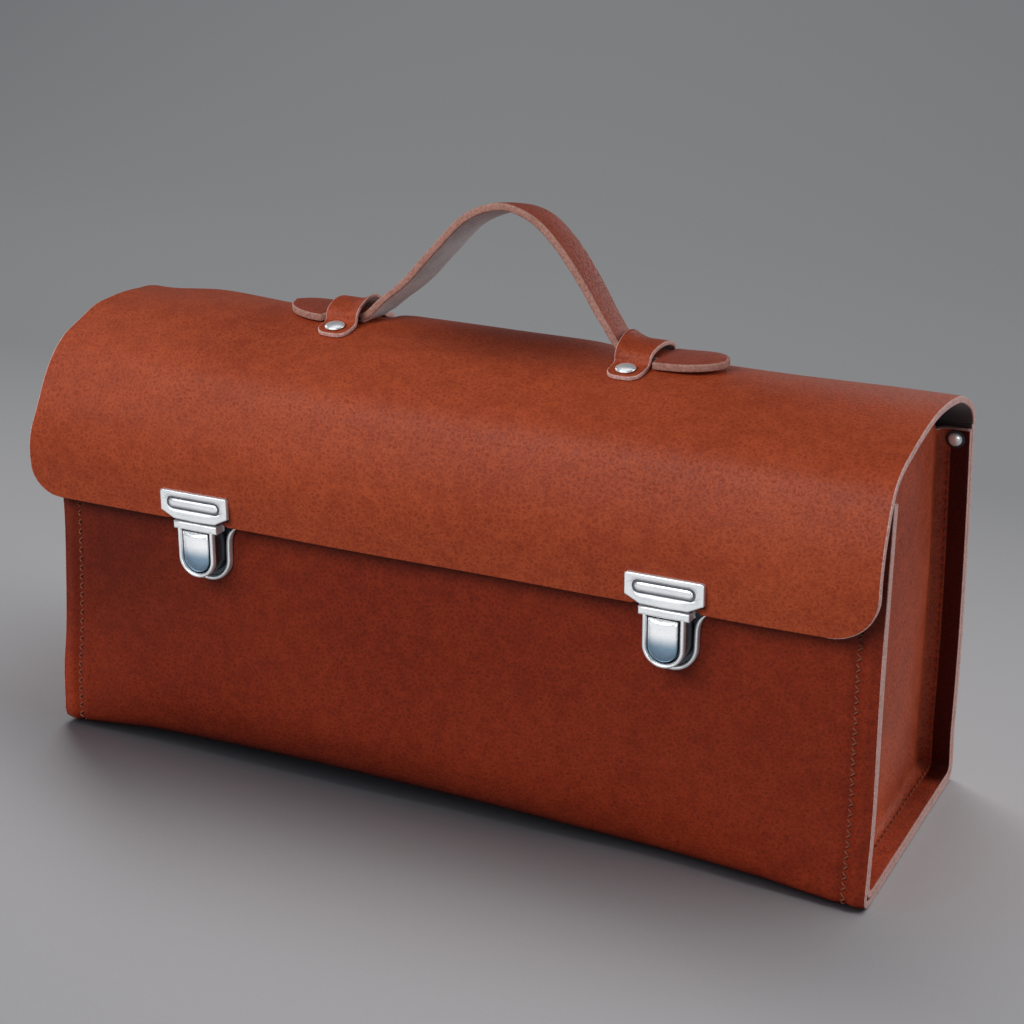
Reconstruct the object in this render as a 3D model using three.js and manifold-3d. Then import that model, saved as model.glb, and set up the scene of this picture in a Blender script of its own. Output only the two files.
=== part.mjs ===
// Leather tool bag. One wrap of leather makes the front, bottom, back and flap, and two
// gussets close its ends. Two tuck locks hold the flap, and a strap handle slides in two
// loops riveted to the flap.
//
// Millimetres. +X runs along the bag, -Y is its front and +Z is up. The origin is the middle
// of the bottom, on the surface that the bag stands on.

import * as THREE from 'three';
import { mergeVertices } from 'three/addons/utils/BufferGeometryUtils.js';
import Module from 'manifold-3d';

const wasm = await Module();
wasm.setup();

// ---- Driving dimensions -------------------------------------------------------------------

const FIT = 0.3;                     // air left between pieces that touch
const LENGTH = 400;                  // the wrap, end to end
const FLAP_LENGTH = 401;
const WRAP = 3;                      // leather thicknesses
const GUSSET = 2.5;
const LOOP = 2.4;
const STRAP = 3.5;

const GUSSET_DEPTH = 14.5;           // how far the end panels stand back from the wrap's ends
const GUSSET_BACK_TOP = 172;
const HINGE_Z = 175;                 // height of the fold where the flap starts
const FLAP_CORNER = 21;              // radius of the flap's two free corners
const FLAP_EDGE_Z = 124;

const END_RIVET = { x: 193.5, z: 166.5, cap: 3.5, dome: 1.5, back: 3.5, post: 1.4 };
const LOOP_RIVET = { cap: 4.5, dome: 1.7, back: 3.6, post: 1.5 };

const LOCK_X = 112;
const LOOP_X = 71;
const LOOP_WIDTH = 18;
const LOOP_RIVETS_Y = { front: -21.3, rear: 19.3 };

const HANDLE_Y = -1;                 // middle of the strap's width
const STRAP_WIDTH = 21;
const STRAP_UNDERSIDE = 198.8;       // where the strap lies flat in its loops
const SHOULDER_X = LOOP_X + LOOP_WIDTH / 2 + 0.4;
const PADDLE_WIDTH = 30;
const PADDLE_TIPS = { left: 101.5, right: 108.5 };
const CROWN_CUTS = [-26, 43];        // the stiff middle of the handle lies between these

// ---- Leather lines, seen from the end, as (y, z) on the outer face --------------------------

// Down the front, along the bottom and up the back, each wall bowed a little outwards.
const BODY_LINE = new THREE.Path()
  .moveTo(-62.1, 175.8)
  .quadraticCurveTo(-67.9, 80, -63.5, 10.5)
  .quadraticCurveTo(-63, 0, -52, 0)
  .lineTo(54, 0)
  .quadraticCurveTo(64.6, 0, 65.2, 11)
  .quadraticCurveTo(73.4, 75, 60.1, HINGE_Z - FIT)
  .getPoints(9);

// From the top of the back, over the crown and down the skirt in front.
const FLAP_LINE = new THREE.SplineCurve([
  [61.8, 160], [60.1, 175], [55.8, 183], [46, 189], [26, 195.4], [-8, 198.3],
  [-42, 193.2], [-62, 185.4], [-72, 167.5], [-76.6, 147], [-74.6, FLAP_EDGE_Z],
].map(([y, z]) => new THREE.Vector2(y, z))).getPoints(56);

// The handle's upper face seen from the front, as (x, z), from its left foot to its right.
const HANDLE_LINE = new THREE.SplineCurve([
  [-61.6, 202.5], [-55, 208.3], [-40, 221.5], [-25, 237], [-10, 252.5], [3, 260], [13, 261.5],
  [24, 257.5], [35, 248], [46, 233.5], [56, 216], [61.6, 203.5],
].map(([x, z]) => new THREE.Vector2(x, z))).getPoints(44);

// ---- Materials ----------------------------------------------------------------------------

const finish = (color, roughness, metalness) =>
  new THREE.MeshStandardMaterial({ color, roughness, metalness });
const leather = () => finish(0x8f4028, 0.5, 0);
const darkLeather = () => finish(0x6e2a1c, 0.55, 0);
const nickel = () => finish(0xd8dcdf, 0.18, 1);
const springSteel = () => finish(0x9a9fa3, 0.35, 1);

// ---- Shapes -------------------------------------------------------------------------------

const X = new THREE.Vector3(1, 0, 0);
const Y = new THREE.Vector3(0, 1, 0);
const Z = new THREE.Vector3(0, 0, 1);
const FRONTWARD = new THREE.Vector3(0, -1, 0);
const CURVE_STEPS = 10;
const LONG = 60;                     // longer than any piece is deep, for cutting right through

function extrude(shape, depth, basis) {
  const geometry = new THREE.ExtrudeGeometry(shape, {
    depth, bevelEnabled: false, curveSegments: CURVE_STEPS,
  });
  return geometry.applyMatrix4(new THREE.Matrix4().makeBasis(...basis));
}

// A (y, z) outline, from x = start to x = end.
const alongX = (shape, start, end) => extrude(shape, end - start, [Y, Z, X]).translate(start, 0, 0);

// An (x, z) outline, from y = back forwards to y = front.
const alongY = (shape, back, front) =>
  extrude(shape, back - front, [X, Z, FRONTWARD]).translate(0, back, 0);

// An (x, y) outline, from z = low to z = high.
const alongZ = (shape, low, high) => extrude(shape, high - low, [X, Y, Z]).translate(0, 0, low);

function outline(points) {
  return new THREE.Shape(points.map((p) => (p.isVector2 ? p : new THREE.Vector2(...p))));
}

const rectangle = (left, right, low, high) =>
  outline([[left, low], [right, low], [right, high], [left, high]]);

// A tongue shape: straight sides and a half-round bottom.
function shield(width, low, high) {
  const radius = width / 2;
  const shape = new THREE.Shape();
  shape.moveTo(radius, high);
  shape.lineTo(-radius, high);
  shape.lineTo(-radius, low + radius);
  shape.absarc(0, low + radius, radius, Math.PI, 2 * Math.PI, false);
  return shape;
}

// The line moved to its left by a distance.
function inset(line, distance) {
  return line.map((here, i) => {
    const before = line[Math.max(i - 1, 0)];
    const after = line[Math.min(i + 1, line.length - 1)];
    const along = after.clone().sub(before).normalize();
    return new THREE.Vector2(here.x - along.y * distance, here.y + along.x * distance);
  });
}

// The strip between two insets of a line.
const band = (line, near, far) => outline([...inset(line, near), ...inset(line, far).reverse()]);

function solid(geometry) {
  const bare = geometry.clone();
  bare.deleteAttribute('normal');
  bare.deleteAttribute('uv');
  const merged = mergeVertices(bare, 1e-4);
  return new wasm.Manifold(new wasm.Mesh({
    numProp: 3,
    vertProperties: merged.attributes.position.array,
    triVerts: Uint32Array.from(merged.index.array),
  }));
}

function geometryOf(body) {
  const { vertProperties, triVerts } = body.getMesh();
  const geometry = new THREE.BufferGeometry();
  geometry.setAttribute('position', new THREE.BufferAttribute(vertProperties, 3));
  geometry.setIndex(new THREE.BufferAttribute(triVerts, 1));
  geometry.computeVertexNormals();
  return geometry;
}

const join = (...pieces) => geometryOf(pieces.map(solid).reduce((a, b) => a.add(b)));
const cut = (piece, ...tools) =>
  geometryOf(tools.map(solid).reduce((a, b) => a.subtract(b), solid(piece)));
const common = (a, b) => geometryOf(solid(a).intersect(solid(b)));

// A rod along Y for a post or a hole, at (x, z).
const rodAlongY = (radius, x, z, back, front) =>
  new THREE.CylinderGeometry(radius, radius, back - front, 16).translate(x, (back + front) / 2, z);

// A rivet along Z: its domed head stands on z = 0, and its back cap closes at -grip.
function rivetShape({ cap, dome, back, post }, grip) {
  const headLine = new THREE.Path()
    .moveTo(0, -grip - dome)
    .quadraticCurveTo(back, -grip - dome, back, -grip)
    .lineTo(post, -grip)
    .lineTo(post, 0)
    .lineTo(cap, 0)
    .quadraticCurveTo(cap, dome, 0, dome)
    .getPoints(5);
  return new THREE.LatheGeometry(headLine, 20).rotateX(Math.PI / 2);
}

const bag = new THREE.Group();

function place(parent, name, geometry, material) {
  const mesh = new THREE.Mesh(geometry, material);
  mesh.name = name;
  parent.add(mesh);
  return mesh;
}

const SIDES = [['left', -1], ['right', 1]];

// Where a line passes x = across, and the turn about X that points +Z out of its face there.
function spotOn(line, across) {
  const i = line.findIndex((p, k) => k > 0 && (line[k - 1].x - across) * (p.x - across) <= 0);
  const [a, b] = [line[i - 1], line[i]];
  const height = a.y + ((b.y - a.y) * (across - a.x)) / (b.x - a.x);
  const along = b.clone().sub(a).normalize();
  return { y: across, z: height, turn: Math.atan2(-along.y, -along.x) };
}

// ---- Body ---------------------------------------------------------------------------------

const backWall = BODY_LINE.slice(-6);
const endRivetSpot = (() => {
  const i = backWall.findIndex((p) => p.y > END_RIVET.z);
  const [a, b] = [backWall[i - 1], backWall[i]];
  const share = (END_RIVET.z - a.y) / (b.y - a.y);
  return { y: a.x + (b.x - a.x) * share, turn: Math.atan2(b.x - a.x, b.y - a.y) };
})();
const END_RIVET_GRIP = WRAP + GUSSET + 3 * FIT;

function endRivetPose(object, side) {
  object.position.set(side * END_RIVET.x, endRivetSpot.y, END_RIVET.z);
  object.rotation.x = -Math.PI / 2 - endRivetSpot.turn;
  object.updateMatrix();
  return object;
}

// The hole that an end rivet's post needs, on both sides of the two leathers.
function endRivetHole(side) {
  const hole = new THREE.CylinderGeometry(END_RIVET.post + FIT, END_RIVET.post + FIT, LONG / 2, 16);
  const pose = endRivetPose(new THREE.Object3D(), side);
  return hole.rotateX(Math.PI / 2).applyMatrix4(pose.matrix);
}

const LOCK_POSTS = [[-8, 112], [8, 112], [0, 95.5]];
const LOCK_POST_RADIUS = 1.2;

const lockPostHoles = SIDES.flatMap(([, side]) => LOCK_POSTS.map(([x, z]) =>
  rodAlongY(LOCK_POST_RADIUS + FIT, side * LOCK_X + x, z, -55, -70)));

place(bag, 'body_sheet', cut(
  alongX(band(BODY_LINE, 0, WRAP), -LENGTH / 2, LENGTH / 2),
  ...lockPostHoles, endRivetHole(-1), endRivetHole(1),
), darkLeather());

// A gusset is a tray open to the outside: an end panel with a flange turned out along the
// front, bottom and back. The panel's top follows the inside of the flap.
const aboveBackFlange = alongX(rectangle(45, 70, GUSSET_BACK_TOP, 190), -LENGTH, LENGTH);
const gussetTop = inset(FLAP_LINE, WRAP + 0.8).filter((p) => p.y > 178 && p.x > -57 && p.x < 53);

for (const [name, side] of SIDES) {
  const panelEnd = side * (LENGTH / 2 - GUSSET_DEPTH);
  const [inside, outside] = [panelEnd - side * GUSSET, side * LENGTH / 2].sort((a, b) => a - b);
  const [low, high] = [panelEnd - side * GUSSET, panelEnd].sort((a, b) => a - b);
  const walls = alongX(band(BODY_LINE, WRAP + FIT, WRAP + FIT + GUSSET), inside, outside);
  const flange = cut(walls, aboveBackFlange);
  const panel = alongX(outline([...inset(BODY_LINE, WRAP + FIT), ...gussetTop]), low, high);
  place(bag, `gusset_${name}`, cut(join(flange, panel), endRivetHole(side)), leather());

  const rivet = rivetShape(END_RIVET, END_RIVET_GRIP);
  rivet.translate(0, 0, FIT);
  endRivetPose(place(bag, `gusset_rivet_${name}`, rivet, nickel()), side);
}

// ---- Tuck locks ---------------------------------------------------------------------------

const LOCK = {
  base: [-65.7, -66.7],              // each pair is a piece's back and front, along y
  case: [-67, -76],
  caseWall: 1.3,
  lipFront: -77,
  lipLow: 118.3,
  top: 122.2,
  caseWidth: 20.5,
  caseLow: 96,
  buttonWidth: 14.4,
  buttonLow: 98,
  buttonHigh: 117,
  buttonFront: -76.9,
  backing: [-60.3, -61.3],
};

function lockBase() {
  const plate = new THREE.Shape();
  plate.moveTo(16, 119);
  plate.lineTo(-16, 119);
  plate.quadraticCurveTo(-12.4, 116.5, -12, 110);
  plate.lineTo(-12, 101.5);
  plate.absarc(0, 101.5, 12, Math.PI, 2 * Math.PI, false);
  plate.lineTo(12, 110);
  plate.quadraticCurveTo(12.4, 116.5, 16, 119);
  const posts = LOCK_POSTS.map(([x, z]) =>
    rodAlongY(LOCK_POST_RADIUS, x, z, LOCK.backing[0], LOCK.base[0] - 0.5));
  return join(alongY(plate, ...LOCK.base), ...posts);
}

function lockBacking() {
  const plate = alongY(rectangle(-13, 13, 90, 119), ...LOCK.backing);
  const holes = LOCK_POSTS.map(([x, z]) => rodAlongY(LOCK_POST_RADIUS + FIT, x, z, -50, -70));
  return cut(plate, ...holes);
}

function lockCase() {
  const [back, front] = LOCK.case;
  const shell = join(
    alongY(shield(LOCK.caseWidth, LOCK.caseLow, LOCK.top), back, front),
    alongY(rectangle(-11, 11, LOCK.lipLow, LOCK.top), back, LOCK.lipFront),
  );
  const hollow = shield(LOCK.caseWidth - 2 * LOCK.caseWall, LOCK.caseLow + LOCK.caseWall, LONG * 3);
  const window = shield(LOCK.buttonWidth + 0.8, LOCK.buttonLow - 0.4, LOCK.buttonHigh + 0.3);
  return cut(
    shell,
    alongY(hollow, back + 1, front + LOCK.caseWall),
    alongY(window, back, front - 0.1),
  );
}

// The button's flange keeps it in the case, and its stem presses the catch spring.
function lockButton() {
  const flangeFront = LOCK.case[1] + LOCK.caseWall + FIT;
  const button = shield(LOCK.buttonWidth, LOCK.buttonLow, LOCK.buttonHigh);
  const flange = shield(LOCK.buttonWidth + 2.9, LOCK.buttonLow - 0.4, LOCK.buttonHigh + 0.9);
  return join(
    alongY(button, flangeFront + 0.5, LOCK.buttonFront),
    alongY(flange, flangeFront + 1, flangeFront),
    rodAlongY(2.5, 0, 105, -69.4, flangeFront + 0.5),
  );
}

function catchSpring() {
  return join(
    alongY(rectangle(-4, 4, 98.5, 118.8), LOCK.case[0], -67.6),
    alongY(rectangle(-3.3, 3.3, 116.3, 118.3), -67.3, -68.1),
  );
}

// The hasp grips the flap's edge and its tongue stands in the lock.
function hasp() {
  const plate = outline([
    [-17.25, 135.9], [-17.25, 125.3], [-9.25, 122.6],
    [9.25, 122.6], [17.25, 125.3], [17.25, 135.9],
  ]);
  const [plateBack, plateFront] = [-76.2, -77.2];
  const [tongueBack, tongueFront] = [-68.4, -69.4];
  const halfTongue = 8.3;
  const hook = join(
    alongY(plate, plateBack, plateFront),
    alongY(rectangle(-halfTongue, halfTongue, 122.6, 123.6), tongueBack, plateFront + 0.2),
    alongY(rectangle(-halfTongue, halfTongue, 114, 123.2), tongueBack, tongueFront),
    alongY(rectangle(-halfTongue, halfTongue, 123, 133), -70.2, -71.2),
    ...HASP_POSTS.map(([x, z]) => rodAlongY(HASP_POST_RADIUS, x, z, -70.7, plateBack - 0.5)),
  );
  return cut(hook, alongY(rectangle(-4, 4, 116, 118.6), tongueBack + 1, tongueFront - 1));
}

const HASP_POSTS = [[-5.5, 129.8], [5.5, 129.8]];
const HASP_POST_RADIUS = 1.2;

for (const [name, side] of SIDES) {
  const lock = new THREE.Group();
  lock.position.x = side * LOCK_X;
  bag.add(lock);
  place(lock, `lock_base_${name}`, lockBase(), nickel());
  place(lock, `lock_backing_${name}`, lockBacking(), springSteel());
  place(lock, `lock_case_${name}`, lockCase(), nickel());
  place(lock, `lock_button_${name}`, lockButton(), nickel());
  place(lock, `catch_spring_${name}`, catchSpring(), springSteel());
  place(lock, `hasp_${name}`, hasp(), nickel());
}

// ---- Flap and handle loops ----------------------------------------------------------------

const loopSpots = SIDES.flatMap(([name, side]) =>
  Object.entries(LOOP_RIVETS_Y).map(([where, y]) => ({
    name: `loop_rivet_${name}_${where}`, x: side * LOOP_X, ...spotOn(FLAP_LINE, y),
  })));

function loopRivetHole({ x, y, z, turn }) {
  const radius = LOOP_RIVET.post + FIT;
  const hole = new THREE.CylinderGeometry(radius, radius, LONG / 3, 16);
  return hole.rotateX(Math.PI / 2 + turn).translate(x, y, z);
}
const loopHoles = loopSpots.map(loopRivetHole);

// Cuts one free corner of the skirt round.
function cornerCutter(side) {
  const end = side * (FLAP_LENGTH / 2);
  const middle = end - side * FLAP_CORNER;
  const shape = new THREE.Shape();
  shape.moveTo(end + side, FLAP_EDGE_Z + FLAP_CORNER);
  shape.lineTo(end, FLAP_EDGE_Z + FLAP_CORNER);
  shape.absarc(middle, FLAP_EDGE_Z + FLAP_CORNER, FLAP_CORNER, side > 0 ? 0 : Math.PI,
    1.5 * Math.PI, side > 0);
  shape.lineTo(middle, FLAP_EDGE_Z - 2);
  shape.lineTo(end + side, FLAP_EDGE_Z - 2);
  return alongY(shape, -60, -90);
}

const belowHinge = alongX(rectangle(50, 70, 150, HINGE_Z + FIT), -LENGTH, LENGTH);
const haspPostHoles = SIDES.flatMap(([, side]) => HASP_POSTS.map(([x, z]) =>
  rodAlongY(HASP_POST_RADIUS + FIT, side * LOCK_X + x, z, -65, -85)));

place(bag, 'flap_sheet', cut(
  alongX(band(FLAP_LINE, 0, WRAP), -FLAP_LENGTH / 2, FLAP_LENGTH / 2),
  belowHinge, cornerCutter(-1), cornerCutter(1), ...haspPostHoles, ...loopHoles,
), leather());

// A loop's underside: flat on the flap at both feet, and bowed over the strap between them.
const foot = (y) => {
  const spot = spotOn(FLAP_LINE, y);
  return [y, spot.z + FIT];
};
const LOOP_LINE = new THREE.SplineCurve([
  foot(-30), foot(-23), foot(-16.2), [-13.5, 200.2], [-12, 203.2], [-5, 205.2],
  [3, 205.2], [10, 203.2], [11.5, 200], foot(14.2), foot(21), foot(28),
].map(([y, z]) => new THREE.Vector2(y, z))).getPoints(44);

for (const [name, side] of SIDES) {
  const middle = side * LOOP_X;
  const strip = alongX(band(LOOP_LINE, 0, LOOP), middle - LOOP_WIDTH / 2, middle + LOOP_WIDTH / 2);
  place(bag, `handle_loop_${name}`, cut(strip, ...loopHoles), leather());
}

for (const { name, x, y, z, turn } of loopSpots) {
  const grip = LOOP + WRAP + 3 * FIT;
  const rivet = place(bag, name, rivetShape(LOOP_RIVET, grip), nickel());
  rivet.geometry.translate(0, 0, LOOP + 2 * FIT);
  rivet.position.set(x, y, z);
  rivet.rotation.x = turn;
}

// ---- Handle -------------------------------------------------------------------------------

// The ends lie flat in the loops, and their wide paddles can't pass through.
for (const [name, side] of SIDES) {
  const [neck, wide, tip] = [STRAP_WIDTH / 2, PADDLE_WIDTH / 2, PADDLE_TIPS[name]];
  const shape = new THREE.Shape();
  shape.moveTo(side * (LOOP_X - LOOP_WIDTH / 2 + FIT), neck);
  shape.lineTo(side * (LOOP_X - LOOP_WIDTH / 2 + FIT), -neck);
  shape.lineTo(side * SHOULDER_X, -neck);
  shape.lineTo(side * SHOULDER_X, -wide);
  shape.lineTo(side * (tip - 16), -wide);
  shape.bezierCurveTo(side * (tip - 6), -wide, side * tip, -wide * 0.6, side * tip, 0);
  shape.bezierCurveTo(side * tip, wide * 0.6, side * (tip - 6), wide, side * (tip - 16), wide);
  shape.lineTo(side * SHOULDER_X, wide);
  shape.lineTo(side * SHOULDER_X, neck);
  const end = place(bag, `handle_end_${name}`, alongZ(shape, 0, STRAP), leather());
  end.position.set(0, HANDLE_Y, STRAP_UNDERSIDE);
}

// The arch is one strap. Its stiff middle and its two bending legs are cut apart so that the
// handle can be pressed down.
const arch = alongY(band(HANDLE_LINE, 0, -STRAP), STRAP_WIDTH / 2, -STRAP_WIDTH / 2);
const [crownLeft, crownRight] = CROWN_CUTS;
const ARCH_PARTS = {
  handle_leg_left: [-LENGTH, crownLeft - FIT / 2],
  handle_crown: [crownLeft + FIT / 2, crownRight - FIT / 2],
  handle_leg_right: [crownRight + FIT / 2, LENGTH],
};
for (const [name, [from, to]] of Object.entries(ARCH_PARTS)) {
  const slab = alongY(rectangle(from, to, 100, 300), LONG, -LONG);
  place(bag, name, common(arch, slab), leather()).position.y = HANDLE_Y;
}

export default bag;
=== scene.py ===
"""Leather tool bag: the looks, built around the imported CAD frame.

Shapes are worked out in millimetres, in the frame's axes (+X along the bag, -Y its front, +Z up),
and become metres when a mesh is made. Leather pieces are sheets: a grid of points on the grain
side, a grid on the flesh side, and a rounded raw edge between them.
"""

import math

import bmesh
import bpy
import numpy as np
from mathutils import Matrix, Vector, noise


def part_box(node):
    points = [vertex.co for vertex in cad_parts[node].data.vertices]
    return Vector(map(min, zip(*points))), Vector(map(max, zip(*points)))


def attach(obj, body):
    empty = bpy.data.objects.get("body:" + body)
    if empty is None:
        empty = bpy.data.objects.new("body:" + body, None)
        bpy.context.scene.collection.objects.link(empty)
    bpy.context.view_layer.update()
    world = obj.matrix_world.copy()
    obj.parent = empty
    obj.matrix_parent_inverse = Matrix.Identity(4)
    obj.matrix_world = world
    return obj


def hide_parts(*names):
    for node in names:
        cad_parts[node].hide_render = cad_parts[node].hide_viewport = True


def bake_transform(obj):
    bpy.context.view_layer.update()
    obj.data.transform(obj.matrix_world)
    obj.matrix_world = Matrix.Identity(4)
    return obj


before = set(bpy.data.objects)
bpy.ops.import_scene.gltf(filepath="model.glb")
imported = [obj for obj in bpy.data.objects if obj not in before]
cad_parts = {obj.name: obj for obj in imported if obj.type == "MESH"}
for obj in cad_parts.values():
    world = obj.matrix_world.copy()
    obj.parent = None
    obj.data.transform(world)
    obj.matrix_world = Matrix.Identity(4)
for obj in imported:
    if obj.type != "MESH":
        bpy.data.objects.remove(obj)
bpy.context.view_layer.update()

MM = 0.001


def box_mm(node):
    """A CAD node's lowest and highest corner, in millimetres."""
    low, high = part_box(node)
    return np.array(low) / MM, np.array(high) / MM


def middle_x(node):
    return float(sum(corner[0] for corner in box_mm(node))) / 2


# ---- Driving dimensions ----

FIT = 0.3  # air between pieces that touch
WRAP = 3.0  # leather thicknesses
GUSSET = 2.5
LOOP = 1.9
STRAP = 3.3

HALF_LENGTH = box_mm("body_sheet")[1][0]
HALF_FLAP = box_mm("flap_sheet")[1][0]
FLAP_EDGE_Z = box_mm("flap_sheet")[0][2]
FLAP_CORNERS = {"left": 14.5, "right": 21.0}
FLAP_DROP = 2.6  # how far the skirt hangs below the CAD's
HASP_HALF = 10.0  # behind this half of a hasp it doesn't
HINGE_Z = 175.0

PANEL_X = HALF_LENGTH - 14.5  # outer face of an end panel
FOLD = 5.0  # inner radius where a flange turns into its panel
FLANGE_BACK_TOP = 172.0
SEAM_X = HALF_LENGTH - 9.5
BACK_STRIP_X = (SEAM_X + 1.2) * MM  # the back flange takes painted shade outside this, in metres
SEAM_PITCH = 4.6
SEAM_START = 3.0  # from the front's top edge
FLANGE_DEPTH = WRAP + FIT + GUSSET  # from the wrap's outer face to a flange's inner one

LOCK_X = middle_x("lock_case_right")
LOOP_X = middle_x("handle_loop_right")
LOOP_HALF = 8.4  # over the strap; its feet are narrower
LOOP_FOOT_HALF = 7.3
LOOP_RIVETS_Y = {"front": -21.3, "rear": 19.3}
END_RIVET_X = 193.5
END_RIVET_Z = 167.6
CROWN_DIP = 0.012  # fall of the crown, per mm; half on the right
LOOP_SKEW = {"left": -0.06, "right": 0.03}  # sideways run of a loop for each mm backwards

HANDLE_Y = -1.0
STRAP_HALF = 8.2
STRAP_UNDERSIDE = float(box_mm("handle_end_left")[0][2])
SHOULDER = 79.7  # where the strap widens into its end
PADDLE_HALF = 15.0
ROUND_LENGTH = 19.0  # of its rounded tip
PADDLE_TIPS = {side: float(abs(box_mm(f"handle_end_{side}")[i][0]))
               for side, i in (("left", 0), ("right", 1))}

SIDES = {"left": -1, "right": 1}


# ---- Lines in one plane ----

def spline(points, steps=24):
    """A smooth line through the points, the same one that the CAD uses."""
    p = np.array([points[0], *points, points[-1]], float)
    out = []
    for i in range(1, len(p) - 2):
        start, end = (p[i + 1] - p[i - 1]) / 2, (p[i + 2] - p[i]) / 2
        for t in np.arange(steps) / steps:
            out.append((2 * p[i] - 2 * p[i + 1] + start + end) * t**3
                       + (3 * p[i + 1] - 3 * p[i] - 2 * start - end) * t**2 + start * t + p[i])
    return np.array([*out, p[-2]])


def bend(a, control, b, steps=24):
    """Points on a quadratic curve from a to b, without b."""
    a, control, b = (np.array(p, float) for p in (a, control, b))
    return [(1 - t) ** 2 * a + 2 * t * (1 - t) * control + t * t * b
            for t in np.arange(steps) / steps]


class Line:
    """A line in a plane, walked by its length. Its normal points to the left of travel."""

    def __init__(self, points):
        self.points = np.array(points, float)
        steps = np.linalg.norm(np.diff(self.points, axis=0), axis=1)
        self.walk = np.concatenate([[0], np.cumsum(steps)])
        self.length = self.walk[-1]

    def at(self, s):
        return np.stack([np.interp(s, self.walk, self.points[:, k]) for k in (0, 1)], -1)

    def normal(self, s, reach=0.6):
        ahead = self.at(np.minimum(np.asarray(s) + reach, self.length))
        along = ahead - self.at(np.maximum(np.asarray(s) - reach, 0))
        along /= np.linalg.norm(along, axis=-1, keepdims=True)
        return np.stack([-along[..., 1], along[..., 0]], -1)

    def offset(self, s, distance):
        return self.at(s) + self.normal(s) * np.asarray(distance)[..., None]

    def find(self, axis, value, part=(0, 1)):
        """The length at which the line crosses a value of one coordinate, within a part of it."""
        low, high = (int(share * (len(self.points) - 1)) for share in part)
        piece = self.points[low:high + 1, axis] - value
        i = low + int(np.argmax(piece[:-1] * piece[1:] <= 0))
        a, b = self.points[i, axis], self.points[i + 1, axis]
        return float(self.walk[i] + (self.walk[i + 1] - self.walk[i]) * (value - a) / (b - a))


# Outer faces seen from the end, as (y, z): down the front, along the bottom, up the back.
BODY_LINE = Line([
    *bend((-62.1, 175.8), (-67.9, 80), (-63.5, 10.5)), *bend((-63.5, 10.5), (-63, 0), (-52, 0)),
    *bend((-52, 0), (0, 0), (54, 0)), *bend((54, 0), (64.6, 0), (65.2, 11)),
    *bend((65.2, 11), (73.4, 75), (60.1, HINGE_Z)), (60.1, HINGE_Z),
])

# From the top of the back, over the crown and down the skirt in front.
FLAP_LINE = Line(spline([
    (61.8, 160), (60.1, 175), (55.8, 183), (46, 189), (26, 195.4), (-8, 198.3),
    (-42, 193.2), (-62, 185.4), (-72, 167.5), (-76.6, 147), (-74.6, FLAP_EDGE_Z),
    (-74.2, FLAP_EDGE_Z - FLAP_DROP),
]))

FLAP_START = FLAP_LINE.find(1, HINGE_Z, (0, 0.3))
CORNER_S = BODY_LINE.find(1, 2.6, (0, 0.5))


def flap_top(y):
    """Height of the flap's outer face at y, over the crown."""
    s = FLAP_LINE.find(0, y)
    return float(FLAP_LINE.at(s)[1])


def fade(value, start, end):
    """0 up to start, 1 from end on, and smooth between them. End may be the lower one."""
    t = np.clip((value - start) / (end - start), 0, 1)
    return t * t * (3 - 2 * t)


def bell(value, centre, width):
    """1 at the centre, falling off smoothly on both sides of it."""
    return np.exp(-(((value - centre) / width) ** 2))


# ---- Meshes ----

def add_object(name, data):
    thing = bpy.data.objects.new(name, data)
    bpy.context.scene.collection.objects.link(thing)
    return thing


def make_mesh(name, points, faces, finishes, face_finish=None, weld=False):
    """A smooth-shaded object from points in millimetres. Faces are turned to point outwards."""
    mesh = bpy.data.meshes.new(name)
    mesh.from_pydata((np.asarray(points) * MM).tolist(), [], [list(map(int, f)) for f in faces])
    for finish in finishes:
        mesh.materials.append(finish)
    if face_finish is not None:
        mesh.polygons.foreach_set("material_index", np.asarray(face_finish, np.int32))
    work = bmesh.new()
    work.from_mesh(mesh)
    if weld:
        bmesh.ops.remove_doubles(work, verts=work.verts, dist=1e-6)
    bmesh.ops.recalc_face_normals(work, faces=work.faces)
    for face in work.faces:
        face.smooth = True
    work.to_mesh(mesh)
    work.free()
    return add_object(name, mesh)


def grid_faces(rows, columns, first=0):
    """Faces between the points of a grid whose first point has the number first."""
    return [(first + r * columns + c, first + r * columns + c + 1,
             first + (r + 1) * columns + c + 1, first + (r + 1) * columns + c)
            for r in range(rows - 1) for c in range(columns - 1)]


def tube_faces(count, around, first=0):
    """Faces of a closed tube through loops of points: its start, its sides and its end."""
    faces = [tuple(range(first, first + around))]
    for a in range(first, first + (count - 1) * around, around):
        b = a + around
        faces += [(a + i, a + (i + 1) % around, b + (i + 1) % around, b + i)
                  for i in range(around)]
    faces.append(tuple(range(b, b + around)))
    return faces


EDGE_STEPS = (30, 60, 90)  # turns of a rounded edge's rings, in degrees
DYED_BANDS = 4  # of an edge's bands, from the grain side


def rim_of(rows, columns, seam_end):
    """The (row, column) of each point round a grid's rim."""
    loop = [(0, c) for c in range(columns)]
    if not seam_end:
        loop += [(r, columns - 1) for r in range(1, rows - 1)]
    loop += [(rows - 1, c) for c in range(columns - 1, -1, -1)]
    return loop + [(r, 0) for r in range(rows - 2, 0, -1)]


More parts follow.
